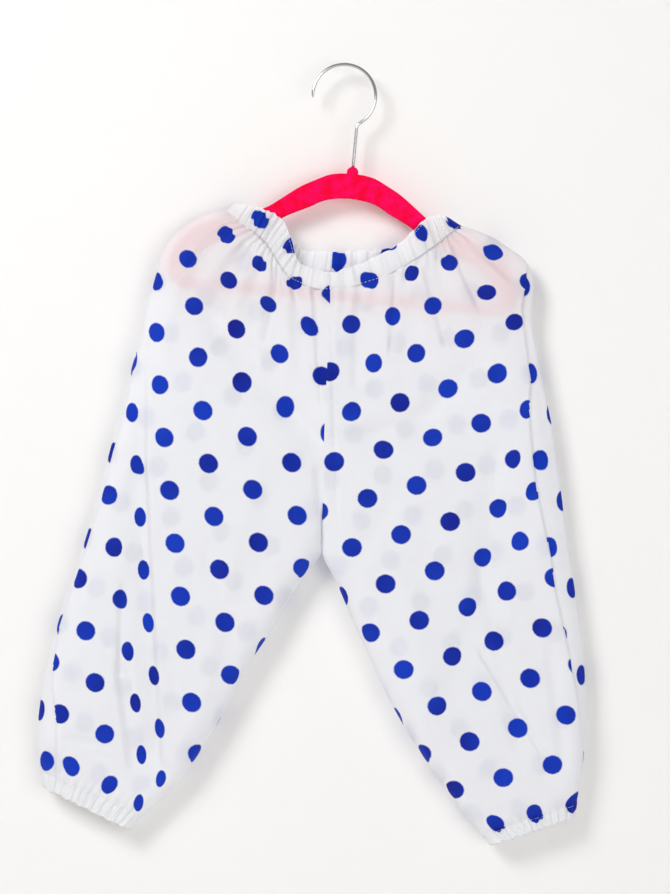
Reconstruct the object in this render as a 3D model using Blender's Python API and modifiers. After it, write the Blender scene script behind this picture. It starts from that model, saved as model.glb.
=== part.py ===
"""Child's pull-on cotton trousers with blue dots, hanging by the waist on a flocked hanger.

Units are metres, +Z up. The origin is where the hanger's hook rests on whatever holds it. The front of the
trousers faces -Y. Tables hold millimetres. Right and left are the wearer's, so the right leg is at -X.
"""

import math
from collections import namedtuple

import bmesh
import bpy
import numpy as np

MM = 0.001
SEAM_GAP = 0.3  # between neighbouring pieces
CLOTH = 1.2  # wall of a single layer of cloth
CASING_WALL = 2.4  # two layers of cloth with the elastic between them
CUFF_WALL = 1.6

# The hanger, upright before it is turned by its tilt
TILT = math.radians(5.2)  # its left arm hangs lower
WIRE = 3.1  # diameter of the hook's wire
HOOK_RADIUS = 30.0  # to the middle of the wire
HOOK_TIP = math.radians(188)
HOOK_END = math.radians(-55)
BEND_RADIUS = 6.3  # where the hook turns into its stem
PLATE = 6.0  # thickness of the frame
KNOB_RADIUS = 5.5
KNOB_HALF = math.radians(105)  # its round runs this far each way from its top
KNOB_SINK = 4.4  # how far its middle lies below the point that the arms are measured from
KNOB_FLAT = 2.0  # half the width of the flat that the hook's stem stands on
KNOB_Z = -96.4
STEM_X = (HOOK_RADIUS + BEND_RADIUS) * math.cos(HOOK_END) - BEND_RADIUS

# Waist
CENTRE_X = -16.0  # centre front and centre back seams at the casing
WAIST_DEPTH = 8.0  # how far the casing stands out from the middle plane
CASING_COLUMNS = 72  # on the front, and as many on the back
WAIST_GATHERS = 18  # on the front, and as many on the back
GATHER_HEIGHT = 0.9
CASING_PUFF = 0.8
CASING_GAP = 0.4  # the casing's slanting edge stays about this far from the panels

# Legs
FRONT_ROWS, FRONT_COLUMNS = 32, 22
BACK_ROWS, BACK_COLUMNS = 26, 18
ROUND_SHARE = 0.16  # share of a leg's width over which its side turns
PANEL_GATHERS = 7  # folds that run down from the casing into each panel
PANEL_GATHER_HEIGHT = 1.5
PANEL_GATHER_DROP = 70.0
SEAM_STAND = 1.6  # at a seam where front meets back, the wall first stands out this far, straight
CROTCH_CURVE = 2.2  # lines over which the centre seam turns under to the crotch
SEAM_FLAT = 0.015  # share of a panel's width that lies flat along the centre seam
CROTCH_EASE = 0.4  # each leg's extra clearance from the other where the seam turns under

# Cuffs
CUFF_COLUMNS = 40  # on the front, and as many on the back
CUFF_GATHERS = 10
CUFF_DEPTH = 11.0
CUFF_GAP = 0.4  # upright, as the cuffs are aslant

# Two points of the casing's edge at each station, from the wearer's right side to the left
Station = namedtuple("Station", "top_x top_z bottom_x bottom_z")
WAIST_FRONT = [
    Station(-108, -132, -116, -138),
    Station(-91, -134, -101, -152),
    Station(-75, -139, -87, -162),
    Station(-61, -148, -77, -172),
    Station(-53, -166, -69, -184),
    Station(-46, -187, -51, -206),
    Station(-16, -197, -16, -215),
    Station(17, -187, 24, -207),
    Station(51, -169, 60, -189),
    Station(77, -145, 86, -172),
    Station(89, -143, 99, -161),
    Station(99, -146, 110, -153),
]
WAIST_BACK = [
    Station(-108, -132, -116, -138),
    Station(-91, -135, -101, -153),
    Station(-75, -142, -86, -163),
    Station(-61, -153, -72, -177),
    Station(-50, -167, -58, -189),
    Station(-38, -176, -42, -196),
    Station(-11, -177, -12, -198),
    Station(24, -175, 26, -196),
    Station(51, -172, 58, -190),
    Station(77, -149, 87, -170),
    Station(89, -145, 99, -160),
    Station(99, -146, 110, -153),
]

# Lines across a leg, from the waist to the cuff: the side, then the centre seam or the inside leg, then how far the
# front and the back stand out, and how much of the casing's sag the line still follows
LegLine = namedtuple("LegLine", "side_x side_z inner_x inner_z front back sag")
RIGHT_LEG = [
    LegLine(-116, -138, -16, -215, 8, 8, 1.0),
    LegLine(-129, -139, -16, -228, 9, 8, 0.8),
    LegLine(-146, -147, -17, -247, 10, 8, 0.5),
    LegLine(-164, -160, -18, -266, 11, 9, 0.3),
    LegLine(-177, -179, -19, -290, 12, 9, 0.1),
    LegLine(-183, -202, -20, -314, 13, 9, 0.0),
    LegLine(-191, -226, -21, -338, 14, 10, 0.0),
    LegLine(-197, -257, -22, -362, 15, 10, 0.0),
    LegLine(-206, -290, -23, -385, 16, 11, 0.0),
    LegLine(-215, -326, -23, -414, 17, 11, 0.0),
    LegLine(-226, -366, -24, -441, 17, 11, 0.0),
    LegLine(-236, -404, -24, -462, 17, 12, 0.0),
    LegLine(-247, -443, -40, -486, 18, 12, 0.0),
    LegLine(-260, -483, -56, -511, 19, 12, 0.0),
    LegLine(-274, -524, -73, -540, 20, 12, 0.0),
    LegLine(-285, -565, -91, -567, 20, 12, 0.0),
    LegLine(-292, -602, -108, -599, 19, 12, 0.0),
    LegLine(-295, -632, -128, -635, 18, 12, 0.0),
    LegLine(-295, -655, -152, -671, 16, 12, 0.0),
    LegLine(-293, -671, -192, -713, 11, 11, 0.0),
]
LEFT_LEG = [
    LegLine(110, -153, -16, -215, 8, 8, 1.0),
    LegLine(120, -156, -16, -228, 9, 8, 0.8),
    LegLine(136, -162, -17, -247, 10, 8, 0.5),
    LegLine(155, -174, -18, -266, 11, 9, 0.3),
    LegLine(171, -187, -19, -290, 12, 9, 0.1),
    LegLine(179, -209, -20, -314, 13, 9, 0.0),
    LegLine(177, -240, -21, -338, 14, 10, 0.0),
    LegLine(182, -276, -22, -362, 15, 10, 0.0),
    LegLine(189, -311, -23, -385, 16, 11, 0.0),
    LegLine(197, -352, -23, -414, 17, 11, 0.0),
    LegLine(204, -404, -24, -441, 17, 11, 0.0),
    LegLine(210, -452, -24, -462, 17, 12, 0.0),
    LegLine(216, -490, -9, -495, 18, 12, 0.0),
    LegLine(222, -533, 8, -535, 19, 12, 0.0),
    LegLine(227, -574, 27, -577, 20, 12, 0.0),
    LegLine(228, -610, 46, -615, 20, 12, 0.0),
    LegLine(227, -642, 67, -650, 19, 12, 0.0),
    LegLine(225, -668, 88, -681, 17, 12, 0.0),
    LegLine(222, -688, 108, -708, 15, 12, 0.0),
    LegLine(220, -701, 127, -731, 11, 11, 0.0),
]
CROTCH_LINE = 11  # the line of both tables at which the legs part

# A cuff's casing: its four corners, seen from the front
Cuff = namedtuple("Cuff", "side_x side_z inner_x inner_z hem_side_x hem_side_z hem_inner_x hem_inner_z")
RIGHT_CUFF = Cuff(-293, -671, -192, -713, -291, -686, -207, -729)
LEFT_CUFF = Cuff(220, -701, 127, -731, 218, -715, 137, -743)

# Large folds, straight from one end to the other: a ridge stands out by its height, a trough has a negative one
Fold = namedtuple("Fold", "start_x start_z end_x end_z width height")
FRONT_FOLDS = [
    Fold(-119, -166, -154, -198, 9, 2.5),  # edge of cloth over the right end of the hanger
    Fold(-169, -190, -126, -242, 14, -2.5),  # long hollow across the right hip
    Fold(-126, -242, -54, -328, 16, -3.5),
    Fold(-54, -328, -26, -357, 12, -2.5),
    Fold(117, -290, 79, -333, 13, -3.0),  # hollow across the left hip
    Fold(79, -333, 31, -352, 13, -3.5),
    Fold(31, -352, -21, -360, 11, -2.5),
    Fold(117, -171, 153, -200, 7, -2.5),  # creases at the left end of the hanger
    Fold(105, -187, 123, -226, 7, -2.0),
    Fold(-12, -223, -23, -357, 9, 3.0),  # ridge down the centre front
    Fold(-26, -390, -23, -450, 9, -3.0),  # cleft above the crotch
    Fold(-186, -366, -186, -509, 12, -4.5),  # long fold down the right leg
    Fold(-186, -509, -174, -643, 12, -4.5),
    Fold(-241, -530, -220, -607, 9, -3.0),
    Fold(169, -261, 171, -414, 9, -4.5),  # long fold down the outside of the left leg
    Fold(185, -440, 205, -567, 9, -4.0),
    Fold(127, -559, 181, -648, 8, -2.5),
    Fold(51, -490, 79, -605, 14, 2.5),
]
BACK_FOLDS = [
    Fold(-160, -210, -60, -330, 15, -2.5),
    Fold(140, -230, 40, -345, 15, -2.5),
    Fold(-18, -230, -23, -380, 9, 1.5),
    Fold(-205, -380, -215, -560, 13, -3.0),
    Fold(150, -330, 165, -520, 13, -3.0),
    Fold(60, -510, 120, -640, 12, -2.0),
]

# Upper and lower edge of one hanger arm, from the middle outwards, measured from the knob
ArmPoint = namedtuple("ArmPoint", "out up")
ARM_TOP = [
    ArmPoint(11.5, -6.3),
    ArmPoint(22, -8.5),
    ArmPoint(34, -14.3),
    ArmPoint(48, -22),
    ArmPoint(62, -32.4),
    ArmPoint(77, -43.6),
    ArmPoint(88, -48.3),
    ArmPoint(100, -50.2),
    ArmPoint(112, -54),
    ArmPoint(124, -59.6),
    ArmPoint(137, -65),
    ArmPoint(149, -72.5),
    ArmPoint(159, -83.5),
    ArmPoint(165, -96),
    ArmPoint(167, -110),
    ArmPoint(163, -121),
    ArmPoint(155, -127.5),
]
ARM_UNDERSIDE = [
    ArmPoint(0, -29.4),
    ArmPoint(12.4, -30.5),
    ArmPoint(25, -33.6),
    ArmPoint(37.7, -40.5),
    ArmPoint(49.6, -46.3),
    ArmPoint(62, -53),
    ArmPoint(79, -66),
    ArmPoint(98, -73.5),
    ArmPoint(119, -81),
    ArmPoint(136, -91),
    ArmPoint(146, -103),
    ArmPoint(149, -113),
    ArmPoint(144, -118.5),
]

WHITE_COTTON = (0.87, 0.88, 0.91)
CRIMSON_FLOCK = (0.87, 0.005, 0.07)
CHROME = (0.75, 0.76, 0.78)


def clear_scene():
    for item in list(bpy.data.objects):
        bpy.data.objects.remove(item, do_unlink=True)


def new_collection(name):
    collection = bpy.data.collections.new(name)
    bpy.context.scene.collection.children.link(collection)
    return collection


def new_material(name, colour, roughness, metallic=0.0):
    material = bpy.data.materials.new(name)
    material.use_nodes = True
    surface = material.node_tree.nodes["Principled BSDF"]
    surface.inputs["Base Color"].default_value = (*colour, 1)
    surface.inputs["Roughness"].default_value = roughness
    surface.inputs["Metallic"].default_value = metallic
    return material


def smooth_step(value):
    value = min(max(value, 0.0), 1.0)
    return value * value * (3 - 2 * value)


def rise(share):
    """A quarter round: 0 at the edge, where it stands straight up, and 1 from a share of 1 on."""
    return math.sqrt(1 - (1 - min(max(share, 0.0), 1.0)) ** 2)


def slope_at(before, here, after):
    """The slope at a row of a table that keeps the curve through its rows from swinging past any of them."""
    rising, falling = here - before, after - here
    agree = rising * falling > 0
    return np.where(agree, 2 * rising * falling / np.where(agree, rising + falling, 1), 0)


def read_table(table, place):
    """The table's values at place, which runs from 0 to 1 over its rows, on a smooth curve through them."""
    rows = np.array(table, float)
    at = place * (len(rows) - 1)
    first = min(int(at), len(rows) - 2)
    share = at - first
    start, end = rows[first], rows[first + 1]
    before = rows[first - 1] if first else 2 * start - end
    after = rows[first + 2] if first + 2 < len(rows) else 2 * end - start
    leave, arrive = slope_at(before, start, end), slope_at(start, end, after)
    turn = smooth_step(share)
    bend = share * (1 - share)
    return start + (end - start) * turn + bend * ((1 - share) * leave - share * arrive)


def wave(share, count):
    """Uneven gathers: count of them as share goes from 0 to 1, of height 1 each way."""
    return math.cos(2 * math.pi * count * share + 0.8 * math.sin(2 * math.pi * 2.3 * share))


def fold_height(folds, x, z):
    """How far all folds together stand out at a place on a panel."""
    total = 0.0
    for fold in folds:
        run_x, run_z = fold.end_x - fold.start_x, fold.end_z - fold.start_z
        length = math.hypot(run_x, run_z)
        off_x, off_z = x - fold.start_x, z - fold.start_z
        along = (off_x * run_x + off_z * run_z) / length
        beside = (off_x * run_z - off_z * run_x) / length
        past = max(-along, along - length, 0.0)
        total += fold.height * math.exp(-(beside**2 + past**2) / fold.width**2)
    return total


def sheet_object(name, rows, columns, place, wall, collection, material, outward_y=None, closed=False):
    """A cloth piece: a grid whose points place(column share, row share) gives in mm, with its wall added inwards."""
    work = bmesh.new()
    bmesh.ops.create_grid(work, x_segments=columns, y_segments=rows, size=0.5)
    for point in work.verts:
        x, y, z = place(point.co.x + 0.5, 0.5 - point.co.y)
        point.co = (x * MM, y * MM, z * MM)
    if closed:
        bmesh.ops.remove_doubles(work, verts=work.verts, dist=0.00001)
    work.normal_update()
    if closed:
        facing = sum(face.normal.y * face.calc_center_median().y for face in work.faces)
    else:
        facing = sum(face.normal.y for face in work.faces) * outward_y
    if facing < 0:
        bmesh.ops.reverse_faces(work, faces=work.faces)
    mesh = bpy.data.meshes.new(name)
    work.to_mesh(mesh)
    work.free()
    mesh.shade_smooth()
    mesh.materials.append(material)
    piece = bpy.data.objects.new(name, mesh)
    collection.objects.link(piece)
    thicken = piece.modifiers.new("wall", "SOLIDIFY")
    thicken.thickness = wall * MM
    thicken.offset = -1
    return piece


def casing_edge(stations, share):
    """The casing's top and bottom point at a share of the way from the right side to the left."""
    row = read_table(stations, share)
    return row[:2], row[2:]


def waist_depth(share):
    """How far the casing stands out at a share of the way along one half of it."""
    return WAIST_DEPTH * rise(min(share, 1 - share) / 0.07)


def make_waist_casing(collection, material):
    def place(around, down):
        front = around <= 0.5
        share = around * 2 if front else 2 - around * 2
        top, bottom = casing_edge(WAIST_FRONT if front else WAIST_BACK, share)
        x, z = top + (bottom - top) * down
        level = smooth_step(min(share, 1 - share) / 0.1)
        out = waist_depth(share) + level * CASING_PUFF * math.sin(math.pi * down)
        out += level * GATHER_HEIGHT * wave(share, WAIST_GATHERS)
        return x, -out if front else out, z

    return sheet_object(
        "waist_casing", 2, CASING_COLUMNS * 2, place, CASING_WALL, collection, material, closed=True
    )


def centre_share(stations):
    """Share of the way along the casing at which its lower edge meets the centre seam."""
    low, high = 0.0, 1.0
    for _ in range(20):
        middle = (low + high) / 2
        if casing_edge(stations, middle)[1][0] < CENTRE_X:
            low = middle
        else:
            high = middle
    return low


def parted_share(table, down):
    """0 where both legs share a seam at the centre, and 1 below the crotch, where each closes at the inside leg."""
    return smooth_step(1 + (down * (len(table) - 1) - CROTCH_LINE) / CROTCH_CURVE)


def make_panel(name, table, stations, folds, outward_y, rows, columns, collection, material):
    """One panel of a leg, from the side to the centre seam or inside leg, and from the casing to the cuff.

    outward_y is -1 for a front panel and 1 for a back one."""
    right = table is RIGHT_LEG
    side_share, middle_share = 0.0 if right else 1.0, centre_share(stations)
    casing_side = casing_edge(stations, side_share)[1]
    casing_centre = casing_edge(stations, middle_share)[1]

    def spot(across, down):
        """Where a point of the panel lies seen from the front, and how far it is below the casing."""
        line = LegLine(*read_table(table, down))
        seam = casing_edge(stations, side_share + (middle_share - side_share) * across)[1]
        sag = seam - (casing_side + (casing_centre - casing_side) * across)
        lift = (casing_centre[1] - table[0].inner_z) * smooth_step(1 - down * (len(table) - 1) / 4)
        x = line.side_x + (line.inner_x - line.side_x) * across + sag[0] * line.sag
        z = line.side_z + (line.inner_z + lift - line.side_z) * across + sag[1] * line.sag
        return x, z, seam[1] - z

    def stand_out(across, down, parted):
        """How far a point of the panel stands out from the middle plane."""
        line = LegLine(*read_table(table, down))
        x, z, drop = spot(across, down)
        from_side = across / ROUND_SHARE
        from_inside = (1 - across) / ROUND_SHARE
        out = line.front if outward_y < 0 else line.back
        out *= rise(from_side) * (1 - parted + parted * rise(from_inside))
        free = smooth_step(from_side) * (1 - parted + parted * smooth_step(from_inside))
        gathers = smooth_step(drop / 8) * math.exp(-((drop / PANEL_GATHER_DROP) ** 2))
        gathers *= smooth_step(from_inside * 2) * PANEL_GATHER_HEIGHT * wave(across, PANEL_GATHERS)
        return out + free * (gathers + fold_height(folds, x, z))

    def place(column_share, row_share):
        column, row = round(column_share * columns), round(row_share * rows)
        down = row / rows
        level_down = min(max(down, 1 / rows), 1 - 1 / rows)
        parted = parted_share(table, down)
        across = (column - 1) / (columns - 2) * (1 - SEAM_FLAT * (1 - parted))
        across = 1.0 if column == columns else max(across, 0.0)
        x, z, _ = spot(across, down)
        if column == 0:
            out = 0.0
        elif column == 1:
            out = SEAM_STAND
        elif column == columns - 1:
            out = max(stand_out(1.0, level_down, parted), SEAM_STAND * parted)
        else:
            out = stand_out(across, level_down, parted)
        if column == columns:
            x += (-1 if right else 1) * (SEAM_GAP / 2 + CROTCH_EASE * parted)
        if row == rows:
            z += CUFF_GAP
        elif row == 0:
            top, bottom = casing_edge(stations, side_share + (middle_share - side_share) * across)
            step = (bottom - top) / np.linalg.norm(bottom - top) * CASING_GAP
            x, z = x + step[0], z + step[1]
        return x, outward_y * (out + SEAM_GAP / 2), z

    return sheet_object(name, rows, columns, place, CLOTH, collection, material, outward_y=outward_y)


def make_cuff(name, cuff, collection, material):
    side = np.array([cuff.side_x, cuff.side_z], float)
    inner = np.array([cuff.inner_x, cuff.inner_z], float)
    hem_side = np.array([cuff.hem_side_x, cuff.hem_side_z], float)
    hem_inner = np.array([cuff.hem_inner_x, cuff.hem_inner_z], float)

    def place(around, down):
        front = around <= 0.5
        share = around * 2 if front else 2 - around * 2
        top = side + (inner - side) * share
        hem = hem_side + (hem_inner - hem_side) * share
        x, z = top + (hem - top) * down
        level = smooth_step(min(share, 1 - share) / 0.14)
        out = CUFF_DEPTH * rise(min(share, 1 - share) / ROUND_SHARE)
        out += level * 0.8 * wave(share, CUFF_GATHERS)
        return x, -out if front else out, z

    return sheet_object(name, 2, CUFF_COLUMNS * 2, place, CUFF_WALL, collection, material, closed=True)


def tilted(x, z):
    """A point of the upright hanger, turned by its tilt about the place where the hook rests, in metres."""
    turned_x = x * math.cos(TILT) + z * math.sin(TILT)
    turned_z = -x * math.sin(TILT) + z * math.cos(TILT)
    return turned_x * MM, turned_z * MM


def curve_object(name, dimensions, collection, material):
    curve = bpy.data.curves.new(name, "CURVE")
    curve.dimensions = dimensions
    curve.materials.append(material)
    item = bpy.data.objects.new(name, curve)
    collection.objects.link(item)
    return item


def add_spline(curve, points, cyclic=False):
    spline = curve.splines.new("POLY")
    spline.points.add(len(points) - 1)
    for spot, point in zip(spline.points, points):
        spot.co = (*point, 1)
    spline.use_cyclic_u = cyclic


def make_hook(collection, material):
    centre_z = -(HOOK_RADIUS - WIRE / 2)
    bend_x = (HOOK_RADIUS + BEND_RADIUS) * math.cos(HOOK_END)
    bend_z = centre_z + (HOOK_RADIUS + BEND_RADIUS) * math.sin(HOOK_END)
    path = []
    for step in range(27):
        angle = HOOK_TIP + (HOOK_END - HOOK_TIP) * step / 26
        path.append((HOOK_RADIUS * math.cos(angle), centre_z + HOOK_RADIUS * math.sin(angle)))
    for step in range(1, 5):
        angle = HOOK_END + math.pi + (math.pi - HOOK_END - math.pi) * step / 4
        path.append((bend_x + BEND_RADIUS * math.cos(angle), bend_z + BEND_RADIUS * math.sin(angle)))
    path.append((STEM_X, (bend_z + KNOB_Z) / 2))
    path.append((STEM_X, KNOB_Z + KNOB_RADIUS - KNOB_SINK + SEAM_GAP))
    item = curve_object("hanger_hook", "3D", collection, material)
    item.data.bevel_depth = WIRE / 2 * MM
    item.data.bevel_resolution = 2
    item.data.use_fill_caps = True
    points = [(tilted(x, z)[0], 0.0, tilted(x, z)[1]) for x, z in path]
    add_spline(item.data, points)
    return item


def make_hanger_frame(collection, material):
    """The flocked frame: two arms, the knob that takes the hook's stem, and the trouser bar between the arms."""
    outline = []
    for step in range(13):
        angle = math.pi / 2 + KNOB_HALF * (1 - step / 6)
        x, z = KNOB_RADIUS * math.cos(angle), KNOB_RADIUS * math.sin(angle)
        outline.append((x, (KNOB_RADIUS if abs(x) < KNOB_FLAT else z) - KNOB_SINK))
    outline += [(point.out, point.up) for point in ARM_TOP]
    outline += [(-point.out, point.up) for point in reversed(ARM_TOP)]
    gap = [(point.out, point.up) for point in ARM_UNDERSIDE]
    gap += [(-point.out, point.up) for point in reversed(ARM_UNDERSIDE[1:])]
    item = curve_object("hanger_frame", "2D", collection, material)
    item.data.fill_mode = "BOTH"
    item.data.extrude = PLATE / 2 * MM
    for ring in (outline, gap):
        points = [(*tilted(STEM_X + x, KNOB_Z + z), 0.0) for x, z in ring]
        add_spline(item.data, points, cyclic=True)
    item.rotation_euler = (math.pi / 2, 0, 0)
    return item


def main():
    clear_scene()
    trousers = new_collection("dotted_trousers_on_hanger")
    cotton = new_material("dotted_cotton", WHITE_COTTON, 0.85)
    flock = new_material("crimson_flock", CRIMSON_FLOCK, 0.95)
    chrome = new_material("chromed_wire", CHROME, 0.15, metallic=1.0)
    make_waist_casing(trousers, cotton)
    for side, table, cuff in (("right", RIGHT_LEG, RIGHT_CUFF), ("left", LEFT_LEG, LEFT_CUFF)):
        front, back = f"front_{side}_leg", f"back_{side}_leg"
        make_panel(front, table, WAIST_FRONT, FRONT_FOLDS, -1, FRONT_ROWS, FRONT_COLUMNS, trousers, cotton)
        make_panel(back, table, WAIST_BACK, BACK_FOLDS, 1, BACK_ROWS, BACK_COLUMNS, trousers, cotton)
        make_cuff(f"{side}_cuff_casing", cuff, trousers, cotton)
    make_hanger_frame(trousers, flock)
    make_hook(trousers, chrome)


main()
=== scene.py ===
"""Looks of a child's pull-on cotton trousers with blue dots, hung by the waist on a flocked hanger.

Lengths in the tables and named sizes are millimetres, in the CAD model's frame: +Z up, the front of the
trousers faces -Y, and the origin is where the hook rests. Right and left are the wearer's, so the right leg
is at -X. Every piece of cloth carries a UV map of its own flat cloth in metres, which the dots follow.
"""

import math
from collections import namedtuple
from functools import partial

import bmesh
import bpy
import numpy as np
from mathutils import Matrix, Vector

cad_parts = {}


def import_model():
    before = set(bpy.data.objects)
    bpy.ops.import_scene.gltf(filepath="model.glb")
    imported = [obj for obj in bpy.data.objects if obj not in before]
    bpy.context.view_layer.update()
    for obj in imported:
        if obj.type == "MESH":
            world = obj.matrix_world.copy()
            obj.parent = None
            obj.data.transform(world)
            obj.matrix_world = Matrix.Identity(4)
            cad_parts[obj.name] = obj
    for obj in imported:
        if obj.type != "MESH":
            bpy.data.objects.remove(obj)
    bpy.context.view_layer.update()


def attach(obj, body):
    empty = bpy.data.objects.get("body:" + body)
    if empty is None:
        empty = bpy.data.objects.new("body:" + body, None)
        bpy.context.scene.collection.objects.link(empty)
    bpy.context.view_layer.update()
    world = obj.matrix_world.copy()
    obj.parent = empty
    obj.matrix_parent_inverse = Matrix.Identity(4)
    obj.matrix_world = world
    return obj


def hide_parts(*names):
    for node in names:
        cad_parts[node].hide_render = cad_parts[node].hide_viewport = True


MM = 0.001
MERGED_CLOTH, MERGED_CURVE = 0.000002, 0.00001  # metres within which two points become one

# The hanger, upright before it is turned by its tilt
TILT = math.radians(5.2)
WIRE = 3.1
HOOK_RADIUS = 30.0
HOOK_TIP = math.radians(188)
HOOK_END = math.radians(-55)
BEND_RADIUS = 6.3
TIP_STEPS = 6  # points of the wire over which its end is rounded
PLATE = 6.0
PLATE_ROUNDING = 1.9
KNOB_RADIUS = 5.5
KNOB_HALF = math.radians(105)
KNOB_SINK = 4.4  # how far its middle lies below the point that the arms are measured from
KNOB_STEPS = 24
KNOB_Z = -96.4
ARM_STEPS = 4
FOOT_SINK = 0.3  # how far the wire runs into the knob
STEM_X = (HOOK_RADIUS + BEND_RADIUS) * math.cos(HOOK_END) - BEND_RADIUS

# Waist casing
CENTRE_X = -16.0
WAIST_DEPTH = 8.0
CASING_WALL = 2.4
CASING_PUFF = 0.9
WAIST_GATHERS = 30
GATHER_HEIGHT = 1.35
CASING_COLUMNS = 640
BAND_ROWS = 17  # round the section of a casing
OUTER_SHARE = 0.6  # of those rows, on the outside of the casing

# Stitching
THREAD = 0.32
STITCH_LIFT = 0.12  # how far a stitch stands proud of the cloth
STITCH_RINGS = [(0.0, 0.5, -0.6), (0.25, 1.0, 0.7), (0.75, 1.0, 0.7), (1.0, 0.5, -0.6)]  # along, size, up
STITCH_SHARE = 0.66  # of a stitch and its gap, the stitch alone
WAIST_ROWS = (0.9, 0.1)  # shares of the way down the waist casing
WAIST_STITCHES, CUFF_STITCHES = 112, 42
CUFF_ROW = 0.14

# Legs
FRONT_ROWS, FRONT_COLUMNS = 250, 170
BACK_ROWS, BACK_COLUMNS = 170, 110
ROUND_SHARE = 0.16  # of the way across a leg, over which it turns round to its side
TURNED_SHARE = 0.6  # of the depth, from which on the cloth is seen so steeply that its print is drawn round
CROTCH_CURVE = 2.2  # rows of the leg's table over which the two legs part
FINE_HEIGHT, FINE_REACH = 1.1, 16.0  # the casing's gathers, carried on just below it
SLOW_HEIGHT, SLOW_REACH = 1.9, 75.0  # broader ones, which run further down
GATHER_FADE = 42.0  # how far down the gathers draw the print to and fro
CUFF_FAN = 40.0  # how far above a cuff the cloth starts to draw in
CUFF_FULLNESS = 1.3  # the width of a leg's cloth for each width of the gathered cuff
TUCK_UNDER = 2.0  # how far a panel runs on inside a casing
TUCK_IN = 1.2  # how far its end lies in there behind the casing's surface
TUCK = 1.5  # how far the gathers swing the print to and fro
LEG_LENGTH = 540.0  # from the waist casing to a cuff, about

# Cuffs
CUFF_COLUMNS = 360
CUFF_WALL = 1.6
CUFF_GATHERS = 13
CUFF_DEPTH = 11.0

# The casing's edges from the wearer's right side to the left: top x, top z, bottom x, bottom z
WAIST_FRONT = [
    (-108, -132, -116, -138),
    (-91, -134, -101, -152),
    (-75, -139, -87, -162),
    (-61, -148, -77, -172),
    (-53, -166, -69, -184),
    (-46, -187, -51, -206),
    (-16, -197, -16, -215),
    (17, -187, 24, -207),
    (51, -169, 60, -189),
    (77, -145, 86, -172),
    (89, -143, 99, -161),
    (99, -146, 110, -153),
]
WAIST_BACK = [
    (-108, -132, -116, -138),
    (-91, -135, -101, -153),
    (-75, -142, -86, -163),
    (-61, -153, -72, -177),
    (-50, -167, -58, -189),
    (-38, -176, -42, -196),
    (-11, -177, -12, -198),
    (24, -175, 26, -196),
    (51, -172, 58, -190),
    (77, -149, 87, -170),
    (89, -145, 99, -160),
    (99, -146, 110, -153),
]

# Lines across a leg, from the waist to the cuff: the x and z of the side and of the inner end, the depths of
# front and back, and how much of the casing's sag a line shares
RIGHT_LEG = [
    (-116, -138, -16, -215, 8, 8, 1.0),
    (-129, -139, -16, -228, 9, 8, 0.8),
    (-146, -147, -17, -247, 10, 8, 0.5),
    (-164, -160, -18, -266, 11, 9, 0.3),
    (-177, -179, -19, -290, 12, 9, 0.1),
    (-183, -202, -20, -314, 13, 9, 0.0),
    (-191, -226, -21, -338, 14, 10, 0.0),
    (-197, -257, -22, -362, 15, 10, 0.0),
    (-206, -290, -23, -385, 16, 11, 0.0),
    (-215, -326, -23, -414, 17, 11, 0.0),
    (-226, -366, -24, -441, 17, 11, 0.0),
    (-236, -404, -24, -462, 17, 12, 0.0),
    (-247, -443, -40, -486, 18, 12, 0.0),
    (-260, -483, -56, -511, 19, 12, 0.0),
    (-274, -524, -73, -540, 20, 12, 0.0),
    (-285, -565, -91, -567, 20, 12, 0.0),
    (-292, -602, -108, -599, 19, 12, 0.0),
    (-295, -632, -128, -635, 18, 12, 0.0),
    (-295, -655, -152, -671, 16, 12, 0.0),
    (-293, -671, -192, -713, 11, 11, 0.0),
]
LEFT_LEG = [
    (110, -153, -16, -215, 8, 8, 1.0),
    (120, -156, -16, -228, 9, 8, 0.8),
    (136, -162, -17, -247, 10, 8, 0.5),
    (155, -174, -18, -266, 11, 9, 0.3),
    (171, -187, -19, -290, 12, 9, 0.1),
    (179, -209, -20, -314, 13, 9, 0.0),
    (177, -240, -21, -338, 14, 10, 0.0),
    (182, -276, -22, -362, 15, 10, 0.0),
    (189, -311, -23, -385, 16, 11, 0.0),
    (197, -352, -23, -414, 17, 11, 0.0),
    (204, -404, -24, -441, 17, 11, 0.0),
    (210, -452, -24, -462, 17, 12, 0.0),
    (216, -490, -9, -495, 18, 12, 0.0),
    (222, -533, 8, -535, 19, 12, 0.0),
    (227, -574, 27, -577, 20, 12, 0.0),
    (228, -610, 46, -615, 20, 12, 0.0),
    (227, -642, 67, -650, 19, 12, 0.0),
    (225, -668, 88, -681, 17, 12, 0.0),
    (222, -688, 108, -708, 15, 12, 0.0),
    (220, -701, 127, -731, 11, 11, 0.0),
]
CROTCH_LINE = 11

Cuff = namedtuple("Cuff", "side_x side_z inner_x inner_z hem_side_x hem_side_z hem_inner_x hem_inner_z")
RIGHT_CUFF = Cuff(-293, -671, -192, -713, -291, -686, -207, -729)
LEFT_CUFF = Cuff(220, -701, 127, -731, 218, -715, 137, -743)

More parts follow.
